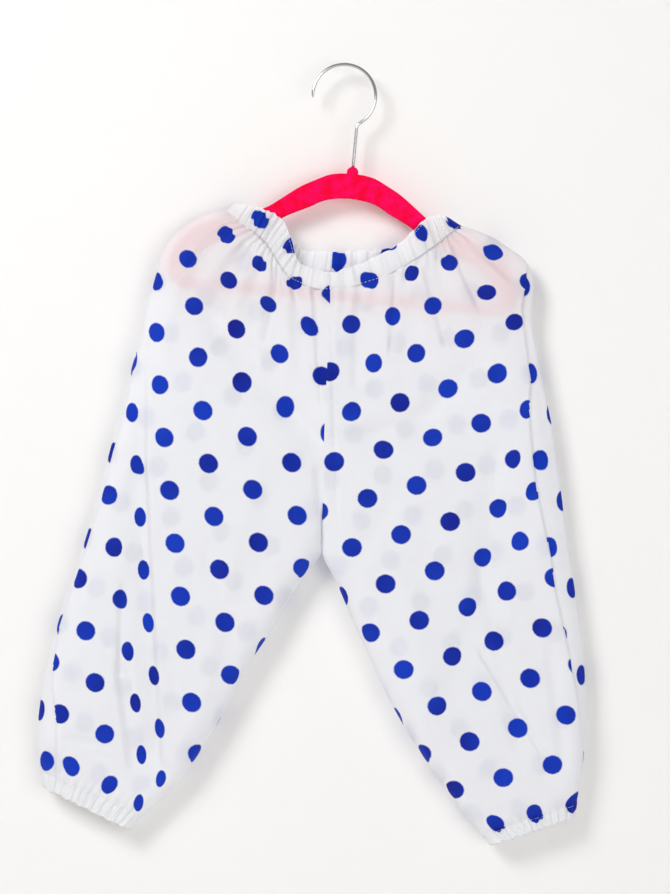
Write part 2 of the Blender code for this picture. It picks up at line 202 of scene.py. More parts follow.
# Folds and creases, straight from one end to the other. left and right are how far the fold reaches to each
# side as the viewer sees it, so a small one is a sharp edge. A height below 0 is a hollow
Fold = namedtuple("Fold", "start_x start_z end_x end_z left right height")
FRONT_FOLDS = [
    Fold(-119, -166, -154, -198, 1.6, 15, 4.2),  # edge of cloth over the right end of the hanger
    Fold(-160, -150, -172, -188, 5, 9, -2.5),
    Fold(-169, -190, -126, -242, 16, 12, -3.5),  # long soft hollow across the right hip
    Fold(-126, -242, -54, -328, 17, 14, -4.5),
    Fold(-54, -328, -26, -357, 14, 10, -3.5),
    Fold(117, -290, 79, -333, 14, 12, -4.0),  # hollow across the left hip
    Fold(79, -333, 31, -352, 16, 12, -4.5),
    Fold(31, -352, -21, -360, 12, 10, -3.5),
    Fold(117, -171, 153, -200, 4, 6, -3.2),  # creases at the left end of the hanger
    Fold(105, -187, 123, -226, 3, 6, -3.0),
    Fold(-12, -223, -22, -357, 7, 9, 4.0),  # ridge down the centre front
    Fold(-33, -200, -24, -319, 2.5, 5, -2.6),  # long gathers that run down from the casing
    Fold(46, -204, 41, -270, 2.5, 5, -2.4),
    Fold(-62, -196, -78, -262, 5, 3, -2.0),
    Fold(72, -188, 92, -262, 3, 6, -2.0),
    Fold(-90, -178, -118, -235, 5, 3, -1.8),
    Fold(10, -212, 8, -300, 4, 7, -1.8),
    Fold(-26, -390, -22, -450, 6, 8, -5.0),  # cleft above the crotch
    Fold(-22, -440, -52, -492, 12, 3, 4.2),  # bulge beside the crotch
    Fold(8, -470, 40, -420, 9, 12, -2.4),
    Fold(-192, -266, -192, -395, 20, 2.0, -5.0),  # long fold down the right leg
    Fold(-192, -395, -178, -650, 18, 2.5, -5.5),
    Fold(-213, -500, -215, -576, 3, 6, -4.0),
    Fold(-215, -576, -204, -660, 4, 9, -4.0),
    Fold(-90, -400, -150, -640, 18, 12, 2.2),
    Fold(-130, -470, -112, -560, 9, 14, -1.8),
    Fold(127, -480, 162, -640, 8, 10, -3.2),  # down the middle of the left leg
    Fold(140, -380, 127, -480, 12, 10, -2.6),
    Fold(127, -559, 181, -648, 2.5, 6, -3.2),  # thin crease above the left cuff
    Fold(51, -490, 79, -605, 14, 14, 2.6),
    Fold(150, -420, 92, -610, 10, 14, -2.4),
    Fold(192, -560, 205, -660, 6, 9, -2.4),
    Fold(-259, -641, -226, -648, 5, 6, -2.8),  # small dents above the right cuff
    Fold(-190, -655, -166, -676, 5, 6, -2.4),
    Fold(70, -660, 112, -700, 5, 7, -2.4),  # and above the left
]
BACK_FOLDS = [
    Fold(-160, -210, -60, -330, 15, 12, -3.5),
    Fold(140, -230, 40, -345, 15, 12, -3.5),
    Fold(-18, -230, -23, -380, 9, 9, 2.0),
    Fold(-205, -380, -215, -560, 15, 4, -4.0),
    Fold(150, -330, 165, -520, 4, 15, -4.0),
    Fold(60, -510, 120, -640, 12, 12, -3.0),
    Fold(-150, -480, -190, -620, 10, 10, -3.0),
    Fold(90, -420, 110, -520, 8, 12, -2.4),
    Fold(-60, -205, -80, -290, 3, 6, -2.2),  # long gathers that run down from the casing
    Fold(40, -205, 52, -280, 6, 3, -2.2),
    Fold(-110, -420, -90, -540, 12, 7, -2.4),
    Fold(-30, -420, -70, -500, 5, 9, -2.6),
    Fold(15, -480, 60, -560, 8, 10, -2.4),
    Fold(-255, -600, -230, -665, 6, 9, -2.6),
    Fold(190, -600, 180, -690, 9, 6, -2.6),
]

# Cloth that lies folded away along a path down the outer half of each front: z, x, and how much lies hidden
HIDDEN_CLOTH = {
    "right": [
        (-220, -188, 0), (-262, -192, 9), (-320, -197, 15), (-400, -199, 20), (-500, -199, 23),
        (-570, -193, 28), (-624, -188, 33), (-665, -186, 34),
    ],
    "left": [
        (-262, 176, 0), (-340, 172, 9), (-404, 164, 16), (-480, 140, 12), (-560, 115, 7),
        (-644, 89, 1),
    ],
}
HIDDEN_REACH = {"right": 22.0, "left": 15.0}  # how far to each side of the path it draws the print in
OUTER_FALL = {"right": 0.13, "left": 0.0}  # how steeply the print's rows fall beyond those folds
OUTER_FALL_X = -196.0

# Where a front panel ends in a folded edge, with the cloth of the back showing beyond it: z, x
LEFT_EDGE = [
    (-195, 172), (-233, 166), (-257, 169), (-300, 174.5), (-326, 172.7), (-357, 174.6),
    (-395, 178.4), (-412, 181.3), (-452, 189.8), (-471, 194), (-500, 197.5), (-548, 208),
    (-595, 217.5), (-652, 225),
]
RIGHT_EDGE = [
    (-262, -199), (-290, -203.5), (-330, -212), (-370, -222.5), (-420, -236), (-458, -248),
    (-500, -262), (-533, -273), (-571, -279), (-591, -279.5), (-624, -275), (-662, -276),
    (-700, -276),
]
EDGE_DROP = 3.2  # how far the cloth beyond the edge lies behind it
EDGE_WIDTH = 1.6

# How the print lies on a panel: the middle of one dot, how far its columns lean from upright, how far its
# rows tilt, and the distances between columns and down a column, as they show
Grain = namedtuple("Grain", "dot_x dot_z lean tilt spacing pitch")
FRONT_GRAIN = {
    "right": Grain(-167.9, -404.5, math.radians(6.0), math.radians(0.6), 39.2, 50.1),
    "left": Grain(65.8, -399.8, math.radians(-17.5), math.radians(-15.7), 40.6, 48.8),
}
BACK_GRAIN = {
    "right": Grain(-229.0, -369.0, math.radians(74.0), math.radians(74.0), 42.5, 50.0),
    "left": Grain(184.0, -376.0, math.radians(95.3), math.radians(95.3), 41.5, 50.0),
}
DOT_SPACING = 40.0
DOT_PITCH = 50.0
DOT_RADIUS = 9.3
DOT_FRAY = 0.0011  # metres that a dot's ragged rim strays at most, from innermost to outermost

# Dots near the waist that the gathers pull out of the print's order. Each is the dot's column and row,
# counted from the middle dot of the leg's grain, then the x and z where it is seen
PrintMark = namedtuple("PrintMark", "column row x z")
PRINT_MARKS = {
    "right": [
        (0, -4, -181, -205), (0, -3, -182, -255), (1, -4.5, -152, -188), (1, -3.5, -145, -229),
        (2, -5, -110, -159), (2, -4, -111.6, -204), (2, -3, -105, -251), (3, -5.5, -83, -160),
        (3, -4.5, -84, -179), (3, -3.5, -72.5, -225), (3, -2.5, -62.5, -275), (4, -5, -60, -188),
        (4, -4, -49, -202), (4, -3, -35, -250), (4, -2, -24, -295), (5, -3.5, -23, -214),
    ],
    "left": [
        (1, -4.5, 169, -208), (1, -3.5, 157, -242), (0, -5, 136, -182), (0, -4, 140, -215.6),
        (0, -3, 111, -261), (-1, -5.5, 96, -150), (-1, -4.5, 97, -187), (-1, -3.5, 79, -230),
        (-1, -2.5, 64, -275), (-2, -5, 73.5, -163), (-2, -4, 60, -195), (-2, -3, 44, -240),
        (-2, -2, 25, -284), (-3, -4.5, 47, -175), (-3, -3.5, 24, -203), (-3, -2.5, 7.6, -246),
        (-3, -1.5, -13, -291), (-2, -1, 3, -330), (-1, -1.5, 50, -322),
    ],
}
MARK_REACH = 27.0
MARK_STILLNESS = 0.08  # the share of unpulled cloth, which takes over away from the marks

# Upper and lower edge of one hanger arm, from the middle outwards, measured from the knob: out, up
ARM_TOP = [
    (11.5, -6.3), (22, -8.5), (34, -14.3), (48, -22), (62, -32.4), (77, -43.6), (88, -48.3),
    (100, -50.2), (112, -54), (124, -59.6), (137, -65), (149, -72.5), (159, -83.5), (165, -96),
    (167, -110), (163, -121), (155, -127.5),
]
ARM_UNDERSIDE = [
    (0, -29.4), (12.4, -30.5), (25, -33.6), (37.7, -40.5), (49.6, -46.3), (62, -53), (79, -66),
    (98, -73.5), (119, -81), (136, -91), (146, -103), (149, -113), (144, -118.5),
]

# View
CAMERA_DISTANCE = 2.0
VIEW_HEIGHT = 0.853
VIEW_X, VIEW_Z = -0.0114, -0.3635
WALL_Y = 0.021
FLOOR_Z = -1.0


def smooth_step(value):
    value = np.clip(value, 0.0, 1.0)
    return value * value * (3 - 2 * value)


def rise(share):
    """A quarter round: 0 at the edge, where it stands straight up, and 1 from a share of 1 on."""
    return np.sqrt(1 - (1 - np.clip(share, 0.0, 1.0)) ** 2)


def slope_at(before, here, after):
    rising, falling = here - before, after - here
    agree = rising * falling > 0
    return np.where(agree, 2 * rising * falling / np.where(agree, rising + falling, 1), 0)


def read_table(table, place):
    """The table's values at places from 0 to 1 along its rows, on smooth curves through them."""
    rows = np.array(table, float)
    rows = np.vstack([2 * rows[0] - rows[1], rows, 2 * rows[-1] - rows[-2]])
    at = np.clip(np.asarray(place, float), 0, 1) * (len(table) - 1)
    first = np.minimum(at.astype(int), len(table) - 2)
    share = (at - first)[..., None]
    before, start, end, after = (rows[first + step] for step in range(4))
    leave, arrive = slope_at(before, start, end), slope_at(start, end, after)
    bend = share * (1 - share)
    return start + (end - start) * smooth_step(share) + bend * ((1 - share) * leave - share * arrive)


def gather_phase(share, count):
    """Turns of the gathers at a share of the way along, a little uneven in their spacing."""
    return 2 * math.pi * count * share + 0.8 * np.sin(2 * math.pi * 2.3 * share)


def beside_fold(fold, x, z):
    """How far a place is to the viewer's right of a fold, and how far it is past the fold's nearer end."""
    run = np.array([fold.end_x - fold.start_x, fold.end_z - fold.start_z], float)
    length = float(np.hypot(*run))
    off_x, off_z = x - fold.start_x, z - fold.start_z
    along = (off_x * run[0] + off_z * run[1]) / length
    beside = (off_z * run[0] - off_x * run[1]) / length
    past = np.maximum(np.maximum(-along, along - length), 0.0)
    return beside, past


def fold_height(folds, x, z):
    total = np.zeros_like(x)
    for fold in folds:
        beside, past = beside_fold(fold, x, z)
        width = np.where(beside < 0, fold.left, fold.right)
        fade = 0.7 * (fold.left + fold.right)
        total += fold.height * np.exp(-((beside / width) ** 2) - (past / fade) ** 2)
    return total


def hidden_cloth(path, reach, x, z, right):
    """How much further across the cloth a place is than it looks, as cloth lies folded away along a path."""
    rows = np.array(path, float)[::-1]
    fold_x = np.interp(z, rows[:, 0], rows[:, 1])
    hidden = np.interp(z, rows[:, 0], rows[:, 2])
    share = smooth_step((x - fold_x + reach) / (2 * reach))
    return hidden * (share - 1 if right else share)


def print_place(grain, x, z):
    """Where a place of the panel lies on its flat cloth, in mm, measured from the middle of a dot."""
    off_x, off_z = x - grain.dot_x, z - grain.dot_z
    across = off_x * math.cos(grain.lean) + off_z * math.sin(grain.lean)
    down = off_x * math.sin(grain.tilt) - off_z * math.cos(grain.tilt)
    return across * DOT_SPACING / grain.spacing, down * DOT_PITCH / grain.pitch


def print_spot(grain, column, row):
    """Where the dot of a column and row of the print would lie on cloth that nothing pulls."""
    across, down = column * grain.spacing, row * grain.pitch
    swing = math.cos(grain.lean - grain.tilt)
    x = (across * math.cos(grain.tilt) + down * math.sin(grain.lean)) / swing
    z = (across * math.sin(grain.tilt) - down * math.cos(grain.lean)) / swing
    return grain.dot_x + x, grain.dot_z + z


def pulled(marks, grain, x, z):
    """How far the gathers and folds have pulled the print from where it would lie, at each place."""
    total = np.full_like(x, MARK_STILLNESS)
    pull_x, pull_z = np.zeros_like(x), np.zeros_like(x)
    for mark in marks:
        even_x, even_z = print_spot(grain, mark.column, mark.row)
        near = np.exp(-((x - mark.x) ** 2 + (z - mark.z) ** 2) / MARK_REACH**2)
        total += near
        pull_x += near * (mark.x - even_x)
        pull_z += near * (mark.z - even_z)
    return pull_x / total, pull_z / total


def casing_edge(stations, share):
    row = read_table(stations, share)
    return row[..., :2], row[..., 2:]


def centre_share(stations):
    """Share of the way along the casing at which its lower edge meets the centre seam."""
    shares = np.linspace(0, 1, 4001)
    return float(shares[np.argmin(np.abs(casing_edge(stations, shares)[1][:, 0] - CENTRE_X))])


def parted_share(down):
    """0 where both legs share a seam at the centre, and 1 below the crotch."""
    return smooth_step(1 + (down * (len(RIGHT_LEG) - 1) - CROTCH_LINE) / CROTCH_CURVE)


class Panel:
    """One panel of a leg. across runs from its side to the centre seam, and down from casing to cuff."""

    def __init__(self, side, front):
        self.side = side
        self.right = side == "right"
        self.front = front
        self.table = RIGHT_LEG if self.right else LEFT_LEG
        self.stations = WAIST_FRONT if front else WAIST_BACK
        self.folds = FRONT_FOLDS if front else BACK_FOLDS
        self.grain = (FRONT_GRAIN if front else BACK_GRAIN)[side]
        self.marks = [PrintMark(*row) for row in PRINT_MARKS[side]] if front else []
        self.hidden, self.hidden_reach = HIDDEN_CLOTH[side], HIDDEN_REACH[side]
        self.edge_grain = BACK_GRAIN[side]
        self.edge = RIGHT_EDGE if self.right else LEFT_EDGE
        self.cuff_line = np.array(self.table[-1][:4], float).reshape(2, 2)
        self.side_share = 0.0 if self.right else 1.0
        self.middle_share = centre_share(self.stations)
        ends = casing_edge(self.stations, np.array([self.side_share, self.middle_share]))[1]
        self.casing_side, self.casing_centre = ends

    def waist_share(self, across):
        return self.side_share + (self.middle_share - self.side_share) * across

    def spot(self, across, down):
        """Where a point of the panel lies seen from the front, and how far it is below the casing."""
        line = read_table(self.table, down)
        side_x, side_z, inner_x, inner_z, _, _, sagging = np.moveaxis(line, -1, 0)
        seam = casing_edge(self.stations, self.waist_share(across))[1]
        straight = self.casing_side + (self.casing_centre - self.casing_side) * across[..., None]
        sag = seam - straight
        rows_down = down * (len(self.table) - 1)
        lift = (self.casing_centre[1] - self.table[0][3]) * smooth_step(1 - rows_down / 4)
        x = side_x + (inner_x - side_x) * across + sag[..., 0] * sagging
        z = side_z + (inner_z + lift - side_z) * across + sag[..., 1] * sagging
        return x, z, seam[..., 1] - z

    def beyond_edge(self, x, z):
        """How far a place lies outside the front's folded edge, and how much of an edge there is, 0 to 1."""
        edge = np.array(self.edge, float)[::-1]
        edge_x = np.interp(z, edge[:, 0], edge[:, 1])
        outside = (edge_x - x) if self.right else (x - edge_x)
        there = smooth_step((z - edge[0, 0]) / 15 + 1) * smooth_step((edge[-1, 0] - z) / 20 + 1)
        return outside, there

    def cloth_place(self, across, x, z, drop, lift):
        """Where a place lies on the panel's flat cloth, drop below the casing and lift above the cuff."""
        pull_x, pull_z = pulled(self.marks, self.grain, x, z)
        run = self.cuff_line[1] - self.cuff_line[0]
        drawn_in = (CUFF_FULLNESS - 1) * (across - 0.5) * smooth_step(1 - lift / CUFF_FAN)
        pull_x, pull_z = pull_x - drawn_in * run[0], pull_z - drawn_in * run[1]
        phase = gather_phase(self.waist_share(across), WAIST_GATHERS)
        tuck = TUCK * smooth_step(1 - drop / GATHER_FADE)
        extra_across, slip = 0.0, 0.0
        if self.front:
            extra_across = hidden_cloth(self.hidden, self.hidden_reach, x, z, self.right)
            slip = OUTER_FALL[self.side] * np.maximum(OUTER_FALL_X - x, 0.0)
        u, v = print_place(self.grain, x - pull_x, z - pull_z)
        return u + extra_across - tuck * np.sin(phase), v - slip

    def stand_out(self, across, down):
        """How far a point of the panel stands out from the middle plane."""
        line = read_table(self.table, down)
        x, z, drop = self.spot(across, down)
        parted = parted_share(down)
        from_side, from_inside = across / ROUND_SHARE, (1 - across) / ROUND_SHARE
        out = line[..., 4] if self.front else line[..., 5]
        out = out * rise(from_side) * (1 - parted + parted * rise(from_inside))
        free = smooth_step(from_side) * (1 - parted + parted * smooth_step(from_inside))
        phase = gather_phase(self.waist_share(across), WAIST_GATHERS)
        fine = FINE_HEIGHT * np.cos(phase) * np.exp(-((drop / FINE_REACH) ** 2))
        slow = SLOW_HEIGHT * np.cos(phase / 2.6 + 1.0) * np.exp(-((drop / SLOW_REACH) ** 2))
        slow *= smooth_step(drop / 12)
        out = out + free * (fine + slow + fold_height(self.folds, x, z))
        out = out + self.seam_dip(x, z, parted) + self.cuff_gathers(across, down, free)
        out = out + free * self.slack(x, z)
        if self.front:
            outside, there = self.beyond_edge(x, z)
            drop_in = EDGE_DROP * there * smooth_step(outside / EDGE_WIDTH + 0.5)
            out = np.where(out > 0, out - drop_in * np.clip(out / 9, 0, 1), out)
        return out

    def turned_away(self, across, down, out):
        """How much further along x the cloth is than it looks, where it turns round to the seams."""
        line = read_table(self.table, down)
        depth = line[..., 4] if self.front else line[..., 5]
        turned = np.maximum(TURNED_SHARE * depth - np.abs(out), 0.0)
        towards_side = -1.0 if self.right else 1.0
        return np.where(across < 0.5, towards_side * turned, -towards_side * turned * parted_share(down))

    def seam_dip(self, x, z, parted):
        """The centre seam draws the cloth in along a line, with small puckers across it."""
        away = np.abs(x - CENTRE_X + (z + 215) * 0.03)
        pucker = 0.25 * np.sin(2 * math.pi * z / 7.5 + 1.3 * np.sin(z / 19)) * np.exp(-((away / 7) ** 2))
        return (1 - parted) * (pucker - 1.0 * np.exp(-((away / 2.2) ** 2)))

    def cuff_gathers(self, across, down, free):
        lift = (1 - down) * LEG_LENGTH
        phase = gather_phase(across, CUFF_GATHERS)
        return free * 0.9 * np.cos(phase) * np.exp(-((lift / 7) ** 2))

    def slack(self, x, z):
        """The slight unevenness of thin cotton that hangs loose."""
        first = np.sin(x / 23.0 + 0.8 * np.sin(z / 41.0)) * np.sin(z / 37.0 + 0.6 * np.sin(x / 29.0))
        second = np.sin(x / 9.1 + z / 31.0) * np.sin(z / 13.3 - x / 47.0)
        return 0.9 * first + 0.24 * second

    def place(self, column, row, columns, rows):
        """Points in mm and their cloth places, for whole column and row numbers."""
        across, down = column / columns, row / rows
        level = np.clip(down, 1 / rows, 1 - 1 / rows)
        x, z, drop = self.spot(across, down)
        out = self.stand_out(across, level)
        out = np.where(column == 0, 0.0, out)
        out = np.where(column == columns, out * (1 - parted_share(down)), out)
        top, bottom = casing_edge(self.stations, self.waist_share(across))
        step = (top - bottom) / np.linalg.norm(top - bottom, axis=-1)[..., None] * TUCK_UNDER
        x = np.where(row == 0, x + step[..., 0], x)
        z = np.where(row == 0, z + step[..., 1], np.where(row == rows, z - TUCK_UNDER, z))
        out = np.where((row == 0) | (row == rows), np.maximum(out - TUCK_IN, 0), out)
        lift = (1 - down) * LEG_LENGTH
        cloth_x = x + self.turned_away(across, level, out)
        u, v = self.cloth_place(across, cloth_x, z, drop, lift)
        other_u, other_v = print_place(self.edge_grain, cloth_x, z)
        outside, there = self.beyond_edge(x, z)
        beyond = np.where(there > 0.02, outside, -1.0) if self.front else np.full_like(x, -1.0)
        y = -out if self.front else out
        return np.stack([x, y, z], -1), np.stack([u, v], -1), np.stack([other_u, other_v], -1), beyond


def smooth_mesh(name, work):
    for face in work.faces:
        face.smooth = True
    mesh = bpy.data.meshes.new(name)
    work.to_mesh(mesh)
    work.free()
    return mesh


def mesh_from_grid(name, columns, rows, place, outward, closed=False):
    """A mesh of a grid, with a UV map of its flat cloth in metres.

    place(column, row) gives the points and their cloth places in mm, second cloth places, and a number
    that is above 0 where the second ones hold. outward gives the way out at the middle of a face."""
    work = bmesh.new()
    bmesh.ops.create_grid(work, x_segments=columns, y_segments=rows, size=0.5)
    shares = np.array([point.co[:2] for point in work.verts])
    column = np.round((shares[:, 0] + 0.5) * columns)
    row = np.round((0.5 - shares[:, 1]) * rows)
    points, cloth, other, beyond = place(column, row)
    for point, (x, y, z) in zip(work.verts, points * MM):
        point.co = (x, y, z)
    work.verts.index_update()
    uv = work.loops.layers.uv.new("cloth")
    for face in work.faces:
        spots = [corner.vert.index for corner in face.loops]
        source = other if beyond[spots].mean() > 0 else cloth
        for corner, spot in zip(face.loops, spots):
            corner[uv].uv = source[spot] * MM
    if closed:
        bmesh.ops.remove_doubles(work, verts=work.verts, dist=MERGED_CLOTH)
    work.normal_update()
    facing = sum(face.normal.dot(outward(face.calc_center_median())) for face in work.faces)
    if facing < 0:
        bmesh.ops.reverse_faces(work, faces=work.faces)
    return smooth_mesh(name, work)


def add_piece(name, mesh, material, slot, *replaced):
    piece = bpy.data.objects.new(name, mesh)
    bpy.context.scene.collection.objects.link(piece)
    mesh.materials.append(material)
    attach(piece, "root")
    if replaced:
        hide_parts(*replaced)
    return piece


def make_panel(side, front, material):
    panel = Panel(side, front)
    rows, columns = (FRONT_ROWS, FRONT_COLUMNS) if front else (BACK_ROWS, BACK_COLUMNS)
    which = "front" if front else "back"
    outward = Vector((0, -1 if front else 1, 0))
    mesh = mesh_from_grid(
        f"{which}_{side}_leg_cloth",
        columns,
        rows,
        lambda column, row: panel.place(column, row, columns, rows),
        lambda centre: outward,
    )
    return add_piece(f"{which}_{side}_leg_cloth", mesh, material, "dotted_cotton", f"{which}_{side}_leg")


def section_of(row, rows, wall):
    """Round the section of a casing: for each row, the share of the way down and how far in it lies."""
    turn = row / rows
    outer = turn < OUTER_SHARE
    down = np.where(outer, turn / OUTER_SHARE, (1 - turn) / (1 - OUTER_SHARE))
    inside = np.where(outer, 0.0, 1.0)
    return np.clip(down, 0, 1), inside * wall


def facing_out(centre):
    return Vector((0, 1 if centre.y > 0 else -1, 0))


def waist_surface(share, down, front):
    """A place on the outside of the waist casing: x and z as seen, and how far it stands out."""
    edges = {flag: casing_edge(WAIST_FRONT if flag else WAIST_BACK, share) for flag in (True, False)}
    top = np.where(front[:, None], edges[True][0], edges[False][0])
    bottom = np.where(front[:, None], edges[True][1], edges[False][1])
    spot = top + (bottom - top) * down[:, None]
    near_end = np.minimum(share, 1 - share)
    level = smooth_step(near_end / 0.1)
    phase = gather_phase(share, WAIST_GATHERS)
    bunch = 0.75 + 0.35 * np.sin(2 * math.pi * 5.3 * share + 0.7)
    out = WAIST_DEPTH * rise(near_end / 0.07) + level * CASING_PUFF * np.sin(math.pi * down)
    out += level * (GATHER_HEIGHT * bunch * np.cos(phase) + 0.4 * np.cos(2.7 * phase + 2 * down))
    out += 0.35 * (smooth_step(down / 0.12) * smooth_step((1 - down) / 0.12) - 1)
    out -= level * 0.7 * np.exp(-(((down - 0.88) / 0.07) ** 2))
    ruffle = level * bunch * (0.7 * np.cos(phase) + 0.5 * np.sin(phase / 2.3))
    return spot[:, 0], spot[:, 1] - ruffle * smooth_step(1 - down * 2), out


def round_the_band(column, row, columns, rows, wall):
    """For points of a band round front and back: front or not, shares along and down, and how far in."""
    around = column / columns
    front = around <= 0.5
    share = np.where(front, around * 2, 2 - around * 2)
    down, inside = section_of(row, rows, wall)
    return front, share, down, inside


def band_points(front, x, z, out, cloth):
    """What mesh_from_grid asks for, of a band that has one print all over."""
    return np.stack([x, np.where(front, -out, out), z], -1), cloth, cloth, np.full_like(x, -1.0)


def make_waist_casing(material):
    """The elastic's casing: a tube of cloth round the waist, drawn into gathers."""
    columns, rows = CASING_COLUMNS, BAND_ROWS
    panels = [Panel(side, front) for side in ("right", "left") for front in (True, False)]

    def place(column, row):
        front, share, down, inside = round_the_band(column, row, columns, rows, CASING_WALL)
        x, z, out = waist_surface(share, down, front)
        out = out - np.minimum(inside, out * 0.6)
        cloth = np.zeros((len(x), 2))
        for panel in panels:
            across = (share - panel.side_share) / (panel.middle_share - panel.side_share)
            mine = (front == panel.front) & (across <= 1.0001)
            drop, lift = np.zeros_like(x), np.full_like(x, LEG_LENGTH)
            u, v = panel.cloth_place(np.clip(across, 0, 1), x, z, drop, lift)
            cloth[mine] = np.stack([u, v], -1)[mine]
        return band_points(front, x, z, out, cloth)

    mesh = mesh_from_grid("waist_casing_cloth", columns, rows, place, facing_out, closed=True)
    return add_piece("waist_casing_cloth", mesh, material, "dotted_cotton", "waist_casing")


def cuff_surface(cuff, share, down):
    """A place on the outside of a cuff: x and z as seen, and how far it stands out."""
    corner = np.array(cuff, float).reshape(4, 2)
    top = corner[0] + (corner[1] - corner[0]) * share[:, None]
    hem = corner[2] + (corner[3] - corner[2]) * share[:, None]
    spot = top + (hem - top) * down[:, None]
    near_end = np.minimum(share, 1 - share)
    level = smooth_step(near_end / 0.12)
    phase = gather_phase(share, CUFF_GATHERS)
    out = CUFF_DEPTH * rise(near_end / ROUND_SHARE) + level * 0.7 * np.sin(math.pi * down)
    out += level * (1.1 * np.cos(phase) + 0.4 * np.cos(2.3 * phase + 3 * down)) - 1.2 * down
    out -= level * 0.6 * np.exp(-(((down - 0.14) / 0.1) ** 2))
    lift = level * (0.9 * np.cos(phase) + 0.6 * np.sin(phase / 2.1)) * smooth_step(down * 2 - 1)
    return spot[:, 0], spot[:, 1] + lift, out


def make_cuff(side, cuff, material):
    columns, rows = CUFF_COLUMNS, BAND_ROWS
    panels = [Panel(side, front) for front in (True, False)]

    def place(column, row):
        front, share, down, inside = round_the_band(column, row, columns, rows, CUFF_WALL)
        x, z, out = cuff_surface(cuff, share, down)
        out = np.maximum(out - inside * np.clip(out / 4, 0, 1), 0)
        phase = gather_phase(share, CUFF_GATHERS)
        cloth = np.zeros((len(x), 2))
        for panel in panels:
            mine = front == panel.front
            u, v = panel.cloth_place(share, x, z, np.full_like(x, LEG_LENGTH), np.zeros_like(x))
            cloth[mine] = np.stack([u + 1.2 * np.sin(phase), v], -1)[mine]
        return band_points(front, x, z, out, cloth)

    name = f"{side}_cuff_cloth"
    mesh = mesh_from_grid(name, columns, rows, place, facing_out, closed=True)
    return add_piece(name, mesh, material, "dotted_cotton", f"{side}_cuff_casing")


def add_stitch(work, start, end, lift):
    """One stitch: a thin thread that dips into the cloth at both ends."""
    radius = THREAD * MM / 2
    run = end - start
    side = run.cross(lift).normalized()
    turned = Matrix((lift, side, lift.cross(side))).transposed().to_4x4()
    last = []
    for share, size, height in STITCH_RINGS:
        middle = Matrix.Translation(start + run * share + lift * radius * height) @ turned
        at_end = share in (0.0, 1.0)
        ring = bmesh.ops.create_circle(work, cap_ends=at_end, segments=6, radius=size * radius, matrix=middle)
        edges = list(dict.fromkeys(edge for point in ring["verts"] for edge in point.link_edges))
        if last:
            bmesh.ops.bridge_loops(work, edges=last + edges)
        last = edges


def make_stitching(name, material, lines):
    """Rows of stitches in one mesh. Each line is a list of places along it in metres, two to a stitch."""
    work = bmesh.new()
    for line in lines:
        for start, end in zip(line[::2], line[1::2]):
            add_stitch(work, Vector(start), Vector(end), facing_out(Vector(start)))
    bmesh.ops.recalc_face_normals(work, faces=work.faces)
    return add_piece(name, smooth_mesh(name, work), material, "dotted_cotton")


def stitch_places(shares, surface, front):
    """Places along a row of stitches in metres, a little proud of the cloth."""
    x, z, out = surface(shares)
    y = -(out + STITCH_LIFT) if front else out + STITCH_LIFT
    return np.stack([x, y, z], -1) * MM


def stitch_shares(stitches, start=0.02, end=0.98):
    """Two shares of the way along a row for each stitch, with a gap after it."""
    step = (end - start) / stitches
    firsts = start + step * np.arange(stitches)
    return np.stack([firsts, firsts + STITCH_SHARE * step], -1).reshape(-1)


def make_all_stitching(material):
    waist = []
    for front in (True, False):
        for down in WAIST_ROWS:
            shares = stitch_shares(WAIST_STITCHES)
            sides = np.full(len(shares), front)
            waist.append(
                stitch_places(shares, lambda at: waist_surface(at, np.full_like(at, down), sides), front)
            )
    make_stitching("waist_stitching", material, waist)
    for side, cuff in (("right", RIGHT_CUFF), ("left", LEFT_CUFF)):
        rows = []
        for front in (True, False):
            shares = stitch_shares(CUFF_STITCHES, 0.05, 0.95)
            row = stitch_places(shares, lambda at: cuff_surface(cuff, at, np.full_like(at, CUFF_ROW)), front)
            rows.append(row)
        make_stitching(f"{side}_cuff_stitching", material, rows)


def tilted(x, z):
    """A point of the upright hanger, turned by its tilt about the place where the hook rests, in metres."""
    turned_x = x * math.cos(TILT) + z * math.sin(TILT)
    turned_z = -x * math.sin(TILT) + z * math.cos(TILT)
    return turned_x * MM, turned_z * MM


def curve_to_mesh(name, curve, turn=None):
    """The mesh of a curve, with its place in its points."""
    holder = bpy.data.objects.new(name + "_curve", curve)
    bpy.context.scene.collection.objects.link(holder)
    shape = bpy.data.meshes.new_from_object(holder.evaluated_get(bpy.context.evaluated_depsgraph_get()))
    bpy.data.objects.remove(holder, do_unlink=True)
    bpy.data.curves.remove(curve)
    work = bmesh.new()
    work.from_mesh(shape)
    bpy.data.meshes.remove(shape)
    if turn:
        bmesh.ops.transform(work, matrix=turn, verts=work.verts)
    bmesh.ops.remove_doubles(work, verts=work.verts, dist=MERGED_CURVE)
    bmesh.ops.recalc_face_normals(work, faces=work.faces)
    return smooth_mesh(name, work)


def add_spline(curve, points, cyclic=False):
    spline = curve.splines.new("POLY")
    spline.points.add(len(points) - 1)
    for spot, point in zip(spline.points, points):
        spot.co = (*point, 1)
    spline.use_cyclic_u = cyclic


